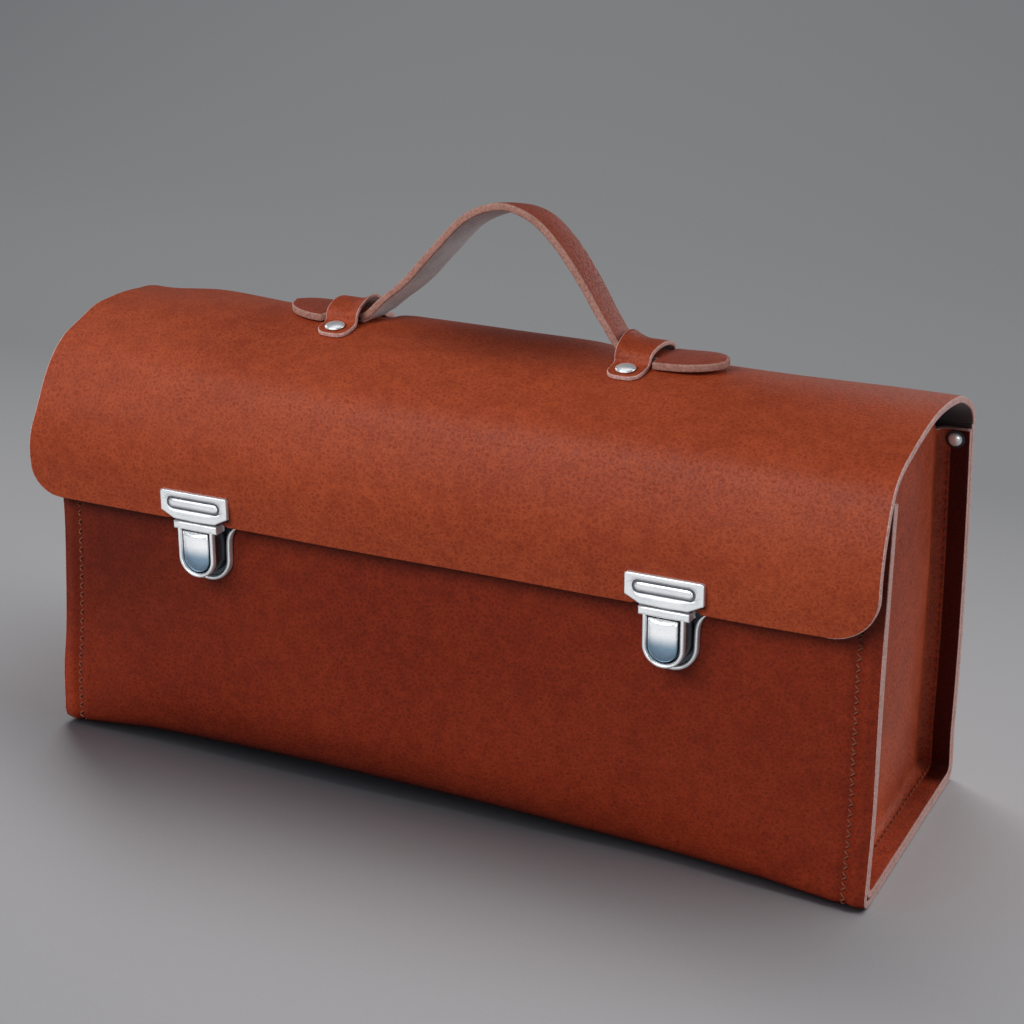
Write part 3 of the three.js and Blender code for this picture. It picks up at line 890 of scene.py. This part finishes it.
def stitch_loops(start, end, out):
    """One stroke of thread that rises out of one hole and sinks into the next."""
    loops = []
    along = (end - start) / np.linalg.norm(end - start)
    beside = np.cross(along, out)
    for t in np.linspace(0, 1, 6):
        rise = STITCH_RISE * math.sin(math.pi * t) - STITCH_SUNK
        middle = start + (end - start) * t + out * rise
        size = THREAD_RADIUS * (0.6 + 0.4 * math.sin(math.pi * t))
        loops.append([middle + size * (math.cos(a) * beside + math.sin(a) * out)
                      for a in np.radians(np.arange(0, 360, 60))])
    return loops


# Strokes of one stitch: (sideways, along) at both ends, as a V outside and a dash inside.
V_STROKES = [((-1.15, 0.3), (1.05, 1.95)), ((1.05, 2.05), (-1.15, 3.7))]
DASH_STROKES = [((0, 0.6), (0, 3.8))]


def stroke_ends(stroke, start, side, on_flange):
    """Both ends of a stroke whose stitch starts at a length, and the way out of the leather."""
    x = side * (SEAM_X + np.array([end[0] for end in stroke]))
    s = start + np.array([end[1] for end in stroke])
    line = BODY_LINE.offset(s, np.full(2, FLANGE_DEPTH if on_flange else 0.0))
    ends = np.stack([x, line[:, 0], line[:, 1]], -1)
    out = np.array([0, *BODY_LINE.normal(s)[0]]) * (1 if on_flange else -1)
    if not on_flange:
        ends = ends + out * body_relief(x, s, ends)[:, None]
        ends[:, 2] = np.maximum(ends[:, 2], 0.25)
    return settle(ends), out


def build_seam(name, side, on_flange):
    """The thread along the front, bottom and back of one end, on one side of the leathers."""
    last = BODY_LINE.find(1, FLANGE_BACK_TOP - 8, (0.6, 1))
    points, faces = [], []
    for start in np.arange(SEAM_START, last - SEAM_PITCH, SEAM_PITCH):
        for stroke in DASH_STROKES if on_flange else V_STROKES:
            ends, out = stroke_ends(stroke, start, side, on_flange)
            loops = stitch_loops(ends[0], ends[1], out)
            faces += tube_faces(len(loops), len(loops[0]), len(points))
            points += [point for loop in loops for point in loop]
    points = np.array(points)
    points[:, 2] = np.maximum(points[:, 2], 0.02)
    piece = make_mesh(f"seam_{name}_{'inside' if on_flange else 'outside'}", points, faces,
                      [THREAD])
    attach(piece, "case")


# ---- Rivets ----

RIVET_SIDES = 32


def rivet_loops(cap, dome, back, post, grip, washer=None):
    """A rivet along Z: its head stands on z = 0 and its cap closes at -grip. cap, back, post
    and washer are radii. A washer lies under the head."""
    foot = [(washer, 0), (washer, 0.3)] if washer else [(cap - 0.15, 0), (cap, 0.15)]
    line = [(0.3, -grip - dome), (back * 0.75, -grip - dome * 0.75), (back, -grip - 0.15),
            (back, -grip), (post, -grip), (post, 0), *foot, (cap, 0.45)]
    for angle in np.radians(np.arange(15, 91, 15)):
        line.append((max(cap * math.cos(angle), 0.12), 0.45 + (dome - 0.45) * math.sin(angle)))
    turns = np.radians(np.arange(RIVET_SIDES) * 360 / RIVET_SIDES)
    return [[(r * math.cos(a), r * math.sin(a), z) for a in turns] for r, z in line]


def turned(loops, origin, tilt):
    """Loops turned about X by tilt and moved to origin."""
    pose = Matrix.Translation(origin) @ Matrix.Rotation(tilt, 4, "X")
    return [[tuple(pose @ Vector(p)) for p in loop] for loop in loops]


def surface_tilt(line, s):
    """The turn about X that points +Z out of a line's outer face."""
    inward = line.normal(s)
    return math.atan2(float(inward[0]), -float(inward[1]))


def build_end_rivet(name, side):
    """A small domed rivet on a washer whose dark nickel is painted shade round its head."""
    s = BODY_LINE.find(1, END_RIVET_Z, (0.6, 1))
    spot = BODY_LINE.offset(np.array(s), FLANGE_DEPTH + 0.1)
    tilt = surface_tilt(BODY_LINE, s) + math.pi
    origin = settle(np.array([side * END_RIVET_X, spot[0], spot[1]]))
    loops = rivet_loops(3.1, 1.9, 3.5, 1.4, WRAP + GUSSET + 3 * FIT, washer=4.3)
    # the washer takes painted shade
    piece = stack(f"end_rivet_{name}", turned(loops, origin, tilt), [NICKEL, NICKEL_SHADE],
                  bands=(5, 6, 7))
    stand_for(piece, "case", f"gusset_rivet_{name}", slot="nickel")


def loop_shift(name, y):
    """How far a loop has run sideways at y."""
    return LOOP_SKEW[name] * y


def build_loop_rivets(name, side):
    """Two larger rivets that hold a loop to the flap."""
    for where, y in LOOP_RIVETS_Y.items():
        s = FLAP_LINE.find(0, y)
        spot = FLAP_LINE.offset(np.array(s), -(LOOP + 2 * FIT))
        loops = rivet_loops(4.5, 1.7, 3.6, 1.5, LOOP + WRAP + 3 * FIT)
        origin = settle(np.array([side * LOOP_X + loop_shift(name, y), spot[0], spot[1]]))
        piece = stack(f"loop_rivet_{name}_{where}",
                      turned(loops, origin, surface_tilt(FLAP_LINE, s)), [NICKEL])
        stand_for(piece, "flap", f"loop_rivet_{name}_{where}", slot="nickel")


# ---- Handle ----

def foot(y):
    """A place on the flap for a loop's foot, as (y, z)."""
    return (y, flap_top(y) + FIT)


# A loop's underside, as (y, z): flat on the flap at both feet and bowed over the strap.
LOOP_LINE = Line(spline([
    foot(-27.4), foot(-22.5), foot(-16.2), (-13.5, 200.2), (-12, 203.2), (-5, 205.2),
    (3, 205.2), (10, 203.2), (11.5, 200), foot(14.2), foot(21), foot(28),
]))


def build_loop(name, side):
    """The band that holds an end of the strap down, with round corners at both feet."""
    radius = 0.4
    corner = 5.0
    first, last = radius, LOOP_LINE.length - radius
    turn = np.radians(np.linspace(0, 90, 7))
    s = np.concatenate([
        first + corner * (1 - np.cos(turn)), np.arange(first + corner + 1.0, last - corner, 1.0),
        last - corner * (1 - np.cos(turn[::-1])),
    ])
    near_end = np.minimum(s - first, last - s)
    cut = np.clip(corner - near_end, 0, corner)
    over = bell(s, LOOP_LINE.length / 2, 13)
    half = LOOP_FOOT_HALF + (LOOP_HALF - LOOP_FOOT_HALF) * over - corner
    half += np.sqrt(np.maximum(corner**2 - cut**2, 0))
    across = np.linspace(-1, 1, 17)
    grids = []
    for depth in (-LOOP, 0.0):
        at = LOOP_LINE.offset(s, np.full(s.shape, -depth))
        out = LOOP_LINE.normal(s)
        inner_edge = np.clip(-side * across, 0, 1) ** 2
        lift = 3.4 * over[:, None] * inner_edge[None, :]
        y = at[:, 0, None] + out[:, 0, None] * lift
        z = at[:, 1, None] + out[:, 1, None] * lift
        x = side * LOOP_X + half[:, None] * across[None, :] + loop_shift(name, y)
        grids.append(settle(np.stack([x, y, z], -1)))
    piece = sheet(f"handle_loop_{name}", grids[0], grids[1], [GRAIN, STRAP_FLESH, RAW], radius)
    stand_for(piece, "flap", f"handle_loop_{name}", slot="strap_leather")


# Upper face of the strap seen from the front, as (x, z), from inside one loop to the other.
HANDLE_LINE = Line(spline([
    (-72, 202.2), (-65, 202.4), (-59.9, 204.5), (-51.6, 212.8), (-42.2, 222.2), (-27.8, 238.2),
    (-13.2, 253.4), (0.4, 260.4), (11, 261.5), (23, 257.5), (34.2, 247.5), (45.2, 232.7),
    (54.6, 217.3), (60.7, 207.6), (65.8, 202.9), (72, 202.2),
]))
TWIST_X = [-66, -56, -40, -10, 2, 12, 20, 34, 56]
TWIST = [0, 1.2, 1.9, 2.0, 2.2, 1.1, 0.2, -0.3, 0.1]  # how far its front edge stands outside
STRAP_SWAY = 1.6  # how far back the arch stands from the ends


def build_strap():
    """The arch of the handle, slightly twisted and bellied."""
    radius = 0.7
    s = np.arange(0, HANDLE_LINE.length, 1.6)
    at = HANDLE_LINE.at(s)
    out = HANDLE_LINE.normal(s, reach=3.0)
    twist = np.interp(at[:, 0], TWIST_X, TWIST)
    twist = np.convolve(np.pad(twist, 6, "edge"), np.full(13, 1 / 13), "valid")
    across = np.linspace(-1, 1, 13)
    belly = 0.35 * (1 - across**2)
    grids = []
    for depth in (0.0, STRAP):
        lift = -twist[:, None] * across[None, :] + belly[None, :] * (1 if depth == 0 else 0.6)
        x = at[:, 0, None] + out[:, 0, None] * (lift - depth)
        z = at[:, 1, None] + out[:, 1, None] * (lift - depth)
        y = (HANDLE_Y + STRAP_SWAY * fade(at[:, 1, None], 203, 228)
             + (STRAP_HALF - radius) * across[None, :])
        grids.append(settle(np.stack([x, y, z], -1)))
    piece = sheet("handle_strap", grids[0], grids[1], [STRAP_GRAIN, STRAP_FLESH, STRAP_RAW],
                  radius)
    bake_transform(piece)
    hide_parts("handle_leg_left", "handle_crown", "handle_leg_right")


def build_paddle(name, side):
    """The flat end of the strap: a neck inside the loop, and a D that can't pass through it."""
    radius = 0.7
    tip = PADDLE_TIPS[name] - radius
    neck, wide = STRAP_HALF - radius, PADDLE_HALF - radius
    shoulder = SHOULDER + radius
    start = LOOP_X - 9 + FIT
    flat_end = tip - ROUND_LENGTH
    turn = np.radians(np.linspace(0, 90, 14))[1:]
    x = np.concatenate([np.arange(start, shoulder - 0.6, 1.5), [shoulder - 0.4, shoulder],
                        np.arange(shoulder + 1.2, flat_end, 1.5),
                        flat_end + (tip - flat_end) * np.sin(turn)])
    half = np.where(x < shoulder - 0.2, neck, wide)
    round_part = np.clip((x - flat_end) / (tip - flat_end), 0, 1)
    half = half * np.maximum(np.sqrt(np.maximum(1 - round_part**2.3, 0)), 0.12)
    across = np.linspace(-1, 1, 15)
    y = HANDLE_Y + half[:, None] * across[None, :] - 0.8 * round_part[:, None]
    grids = []
    for height in (STRAP, 0.0):
        rise = 1.2 * fade(x - shoulder, 0, 25)[:, None] * np.ones(across.shape)
        dome = 0.5 * (1 - across**2)[None, :] * (1 if height else 0.5)
        z = STRAP_UNDERSIDE + height + rise + dome
        grids.append(settle(np.stack([np.broadcast_to(side * x[:, None], y.shape), y, z], -1)))
    piece = sheet(f"handle_end_{name}", grids[0], grids[1],
                  [STRAP_GRAIN, STRAP_FLESH, STRAP_RAW], radius)
    stand_for(piece, f"handle_end_{name}", f"handle_end_{name}", slot="strap_leather")


# ---- Tuck locks ----

def shield_loop(width, low, high):
    """A tongue outline in (x, z): straight sides and a half-round bottom."""
    radius = width / 2
    turn = np.radians(np.linspace(180, 360, 28))
    arc = [(radius * math.cos(a), low + radius + radius * math.sin(a)) for a in turn]
    side = np.linspace(low + radius, high, 6)[1:]
    top = np.linspace(radius, -radius, 8)[1:-1]
    return np.array([*arc, *[(radius, z) for z in side], *[(x, high) for x in top],
                     *[(-radius, z) for z in side[::-1]]])


def shrink(outline, distance):
    """A closed outline moved inwards, by one distance or one for each point."""
    before, after = np.roll(outline, 1, axis=0), np.roll(outline, -1, axis=0)
    turn = np.array([(b - a) / np.linalg.norm(b - a) for a, b in zip(before, after)])
    return outline + np.stack([-turn[:, 1], turn[:, 0]], -1) * np.reshape(distance, (-1, 1))


def at_depth(outline, x, y):
    """An (x, z) outline as points at one depth y, or at a depth for each point."""
    depth = np.broadcast_to(y, (len(outline),))
    return [(x + p[0], d, p[1]) for p, d in zip(outline, depth)]


# Rings over a button's face, as (inset, how far they stand out).
BUTTON_FACE = ((0.1, 0.35), (0.35, 0.65), (0.8, 0.85), (1.4, 0.95), (2.1, 1.0), (2.9, 1.0),
               (3.8, 1.0), (4.8, 1.0), (5.8, 1.0))
BUTTON_OFF = 0.55  # how far it sits to the left in its case


def build_button(name, x):
    """The release button: a crowned face that falls away below, and a flange behind."""
    width, low, high = 13.2, 98.2, 117.1
    middle = (low + high) / 2
    x -= BUTTON_OFF
    loops = [at_depth(shield_loop(14.6, low - 0.6, high + 0.6), x, y) for y in (-73.9, -74.7)]
    loops += [at_depth(shield_loop(width, low, high), x, y) for y in (-74.8, -76.0)]
    for inset, depth in BUTTON_FACE:
        ring = shield_loop(width - 2 * inset, low + inset, high - inset)
        share = fade(inset, 0.2, 1.2)
        bow = 1.0 * (np.minimum(ring[:, 1] - middle, 0) / 9.5) ** 2 * share
        crown = 0.8 * np.clip(1 - (ring[:, 0] / 6.2) ** 2, 0, 1) * share
        loops.append(at_depth(ring, x, -76.1 - depth + bow - crown))
    # its flange and sides take painted shade, a dark gap round the button
    piece = stack(f"lock_button_{name}", loops, [BUTTON, NICKEL_SHADE], angle=60, bands=(0, 1, 2))
    stand_for(piece, f"button_{name}", f"lock_button_{name}", slot="nickel")


def walk_round(outline):
    """Each point's share of the way round a closed outline."""
    steps = np.linalg.norm(np.roll(outline, -1, axis=0) - outline, axis=1)
    return np.concatenate([[0], np.cumsum(steps)[:-1]]) / steps.sum()


def oblong(length, height, middle, shares):
    """A slot outline in (x, z) with half-round ends, from its lower left, at shares of the way."""
    radius = height / 2
    straight = length / 2 - radius
    turn = np.radians(np.linspace(-90, 90, 15))
    right = [(straight + radius * math.cos(a), middle + radius * math.sin(a)) for a in turn]
    left = [(-x, 2 * middle - z) for x, z in right]
    line = Line([(-straight, middle - radius), *right, *left])
    return line.at(shares * line.length)


def hasp_outline():
    """The hasp plate seen from the front: clipped top corners and wide cuts at the lower ones."""
    corners = [(-10.6, 122.8), (0, 122.5), (10.6, 122.8), (17.25, 126.2), (17.25, 135.2),
               (16.5, 135.9), (-16.5, 135.9), (-17.25, 135.2), (-17.25, 126.2)]
    out = []
    for a, b in zip(corners, corners[1:] + corners[:1]):
        steps = max(int(math.dist(a, b) / 1.2), 1)
        out += [(a[0] + (b[0] - a[0]) * t / steps, a[1] + (b[1] - a[1]) * t / steps)
                for t in range(steps)]
    return np.array(out)


# The raised oblong's rings, as (length, height, depth behind the plate's face).
HASP_OBLONG = ((27.8, 6.1, 0.0), (27.3, 5.6, 0.2), (26.9, 5.2, 0.7), (26.0, 4.3, 0.7),
               (25.5, 3.8, 0.1), (25.0, 3.4, -0.1), (23.4, 1.8, -0.3))
OBLONG_Z = 130.4


def build_hasp(name, x):
    """The hook and tongue from the CAD, and a pressed cover plate that has a raised oblong."""
    back, front = -75.9, -77.9
    hook = soften(f"hasp_hook_{name}", f"hasp_{name}", NICKEL, width=0.2, front=back - 0.3)
    stand_for(hook, "flap", f"hasp_{name}", slot="nickel")
    outline = hasp_outline()
    loops = [at_depth(outline, x, back)]
    for inset, depth in ((0, 0.55), (0.12, 0.22), (0.35, 0.05), (0.7, 0)):
        loops.append(at_depth(shrink(outline, inset), x, front + depth))
    shares = walk_round(outline)
    for length, height, depth in HASP_OBLONG:
        loops.append(at_depth(oblong(length, height, OBLONG_Z, shares), x, front + depth))
    # the oblong's groove takes painted shade
    plate = stack(f"hasp_plate_{name}", loops, [NICKEL, GROOVE_SHADE], angle=50, bands=(5, 6, 7, 8))
    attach(plate, "flap")


EAR_TIP = (16.6, 118.8)


def base_outline():
    """The lock base seen from the front, from the right ear's tip round to the left one's, and
    how much room there is for its lip at each point."""
    half, foot_z = 11.5, 91.5
    ear = np.array([*bend(EAR_TIP, (12.2, 117.6), (half, 110), 12), (half, 106)])
    turn = np.radians(np.linspace(0, 180, 29))
    arc = np.stack([half * np.cos(turn), foot_z + half - half * np.sin(turn)], -1)
    path = np.concatenate([ear, arc, ear[::-1] * (-1, 1)])
    room = fade(np.hypot(np.abs(path[:, 0]) - EAR_TIP[0], path[:, 1] - EAR_TIP[1]), 0, 7)
    return path[::-1], 0.2 + 0.8 * room[::-1]


BASE_BACK = -65.5
# The lip's rings, as (inset, y), from the outer edge over the lip to the plate inside it.
BASE_LIP = ((0, -67.7), (0.2, -68.1), (0.6, -68.3), (1.1, -68.35), (1.6, -68.15), (1.8, -67.7),
            (1.9, -67.0), (2.1, -66.7), (3.0, -66.7), (6.0, -66.7))


def build_lock_base(name, x):
    """The shield behind the case: a plate with a rounded lip and a groove inside it."""
    outline, room = base_outline()
    loops = [at_depth(outline, x, BASE_BACK)]
    for inset, y in BASE_LIP:
        ring = shrink(outline, inset * room)
        loops.append(at_depth(ring, x, BASE_BACK + (y - BASE_BACK) * (0.5 + 0.5 * room)))
    # the lip's inner wall and the plate inside it take painted shade near the case
    piece = stack(f"lock_base_{name}", loops, [NICKEL, NICKEL_SHADE], angle=50, bands=(7, 8, 9, 10))
    stand_for(piece, "case", f"lock_base_{name}", slot="nickel")


# The wall's section, as (inset, y), from its outer face over its rim to its inner one.
CASE_SECTION = ((-0.3, -66.8), (-0.1, -69.5), (0, -75.6), (0, -76.6), (0.1, -77.3),
                (0.4, -77.75), (0.95, -77.9), (1.5, -77.7), (1.75, -77.2), (1.8, -76.4),
                (1.8, -66.8))
# The front edges of the lip across its top, as (inset, y).
LIP_EDGE = ((0.12, -77.3), (0.4, -77.55), (0.8, -77.6), (1.5, -77.6))


def build_case_wall(name, x):
    """A U-shaped wall with a domed rim round the button."""
    half, foot_z, top = 9.2, 96.0, 119.0
    turn = np.radians(np.linspace(180, 360, 33))
    path = [(-half, top), (-half, 112.0)]
    path += [(half * math.cos(a), foot_z + half + half * math.sin(a)) for a in turn]
    path = np.array(path + [(half, 112.0), (half, top)])
    along = np.gradient(path, axis=0)
    along /= np.linalg.norm(along, axis=1, keepdims=True)
    inward = np.stack([-along[:, 1], along[:, 0]], -1)
    loops = [[(x + p[0] + n[0] * inset, y, p[1] + n[1] * inset) for inset, y in CASE_SECTION]
             for p, n in zip(path, inward)]
    wall = stack(f"lock_case_{name}", loops, [NICKEL], angle=50)
    # the wall's sides take painted shade
    darken_sides(wall, -66.0, -75.8)
    stand_for(wall, "case", f"lock_case_{name}", slot="nickel")


def build_case_lip(name, x):
    """The bar across the top of the case."""
    corners = np.array([(-11.2, 118.1), (11.2, 118.1), (11.2, 121.7), (-11.2, 121.7)])
    lip = np.concatenate([np.linspace(a, b, 7)[:-1]
                          for a, b in zip(corners, np.roll(corners, -1, 0))])
    loops = [at_depth(lip, x, y) for y in (-70.6, -76.9)]
    loops += [at_depth(shrink_box(lip, inset), x, y) for inset, y in LIP_EDGE]
    piece = stack(f"lock_lip_{name}", loops, [NICKEL], angle=50)
    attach(piece, "case")


def darken_sides(piece, back, front):
    """Gives the painted shade of dark nickel to the faces that lie between two depths."""
    piece.data.materials.append(NICKEL_SHADE)
    for face in piece.data.polygons:
        if front * MM < face.center.y < back * MM:
            face.material_index = 1


def shrink_box(outline, inset):
    """A rectangular outline drawn in by the same amount on all four sides."""
    middle = (outline.min(0) + outline.max(0)) / 2
    half = (outline.max(0) - outline.min(0)) / 2
    return middle + (outline - middle) * (half - inset) / half


def build_lock(name, side):
    """A tuck lock. The pieces inside it stay as the CAD has them."""
    x = side * LOCK_X
    build_lock_base(name, x)
    build_case_wall(name, x)
    build_case_lip(name, x)
    build_button(name, x)
    build_hasp(name, x)
    for part in ("lock_backing", "catch_spring"):
        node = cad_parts[f"{part}_{name}"]
        node.data.materials.clear()
        node.data.materials.append(STEEL)


# ---- Camera, backdrop and light ----

def build_camera():
    data = bpy.data.cameras.new("camera")
    data.lens = 77.6
    data.sensor_width = 36.0
    camera = add_object("camera", data)
    camera.location = (0.4133, -0.8375, 0.4732)
    camera.rotation_euler = (math.radians(69.24), math.radians(0.12), math.radians(25.84))
    bpy.context.scene.camera = camera


def build_backdrop():
    """A floor that sweeps up into a wall far behind."""
    half, near, start, curve, height = 4000.0, -3000.0, 900.0, 900.0, 2500.0
    floor_z = -0.4
    line = [(near, floor_z), (start, floor_z)]
    line += [(start + curve * math.sin(a), floor_z + curve * (1 - math.cos(a)))
             for a in np.radians(np.arange(5, 91, 5))]
    line.append((start + curve, height))
    points = [(x, y, z) for y, z in line for x in (-half, half)]
    floor = make_mesh("backdrop", points, grid_faces(len(line), 2), [backdrop_paper()])
    return floor


BAG_MIDDLE = (0, 0, 0.1)


def build_light(name, place, size, power, lit, target=BAG_MIDDLE):
    """A softbox that lights the pieces in one collection."""
    data = bpy.data.lights.new(name, "AREA")
    data.shape = "RECTANGLE"
    data.size, data.size_y = size
    data.energy = power
    lamp = add_object(name, data)
    lamp.location = place
    lamp.rotation_euler = (Vector(target) - Vector(place)).to_track_quat("-Z", "Y").to_euler()
    lamp.light_linking.receiver_collection = lit
    lamp.visible_camera = False


def collect(name, pieces):
    """A collection for light linking, which isn't part of the scene itself."""
    group = bpy.data.collections.new(name)
    for piece in pieces:
        group.objects.link(piece)
    return group


def build_world(strength):
    world = bpy.data.worlds.new("studio")
    world.use_nodes = True
    shade = world.node_tree.nodes["Background"]
    shade.inputs["Color"].default_value = (0.88, 0.97, 1.12, 1)
    shade.inputs["Strength"].default_value = strength
    bpy.context.scene.world = world


def build_studio():
    """The paper is lit from above and behind, which leaves the ground in front of the bag in
    shade, and the bag from above its front. Four cards make the plated pieces shine."""
    bpy.context.scene.view_settings.view_transform = "Standard"
    meshes = [piece for piece in bpy.context.scene.objects if piece.type == "MESH"]
    bag = collect("bag_pieces", meshes)
    plated = collect("nickel_pieces", [m for m in meshes
                                       if {NICKEL, BUTTON} & set(m.data.materials)])
    build_camera()
    paper = collect("paper", [build_backdrop()])
    build_world(0.12)
    build_light("paper_key", (0.17, 0.39, 1.6), (3.6, 0.55), 30.5, paper)
    build_light("bag_key", (-0.35, -1.3, 1.2), (1.4, 0.8), 22.8, bag)
    build_light("fill_right", (1.6, 0.6, 0.7), (0.9, 0.9), 10, bag)
    build_light("fill_left", (-1.6, 0.4, 0.7), (0.9, 0.9), 6, bag)
    build_light("fill_back", (0.3, 1.6, 0.4), (1.2, 0.6), 7, bag)
    build_light("metal_card", (-0.5, -1.5, 0.35), (1.3, 0.4), 4, plated)
    build_light("metal_card_right", (0.9, -1.4, 0.3), (0.7, 0.5), 5, plated)
    build_light("metal_card_low", (-0.12, -0.45, 0.015), (0.9, 0.5), 0.85, plated,
                target=(-0.12, -0.45, 1))
    build_light("metal_card_top", (0, 0.1, 1.3), (1.2, 1.0), 4, plated)


# ---- The bag ----

build_body()
build_flap()
build_strap()
for side_name, side_sign in SIDES.items():
    build_gusset(side_name, side_sign)
    build_seam(side_name, side_sign, on_flange=False)
    build_seam(side_name, side_sign, on_flange=True)
    build_end_rivet(side_name, side_sign)
    build_loop(side_name, side_sign)
    build_loop_rivets(side_name, side_sign)
    build_paddle(side_name, side_sign)
    build_lock(side_name, side_sign)
build_studio()
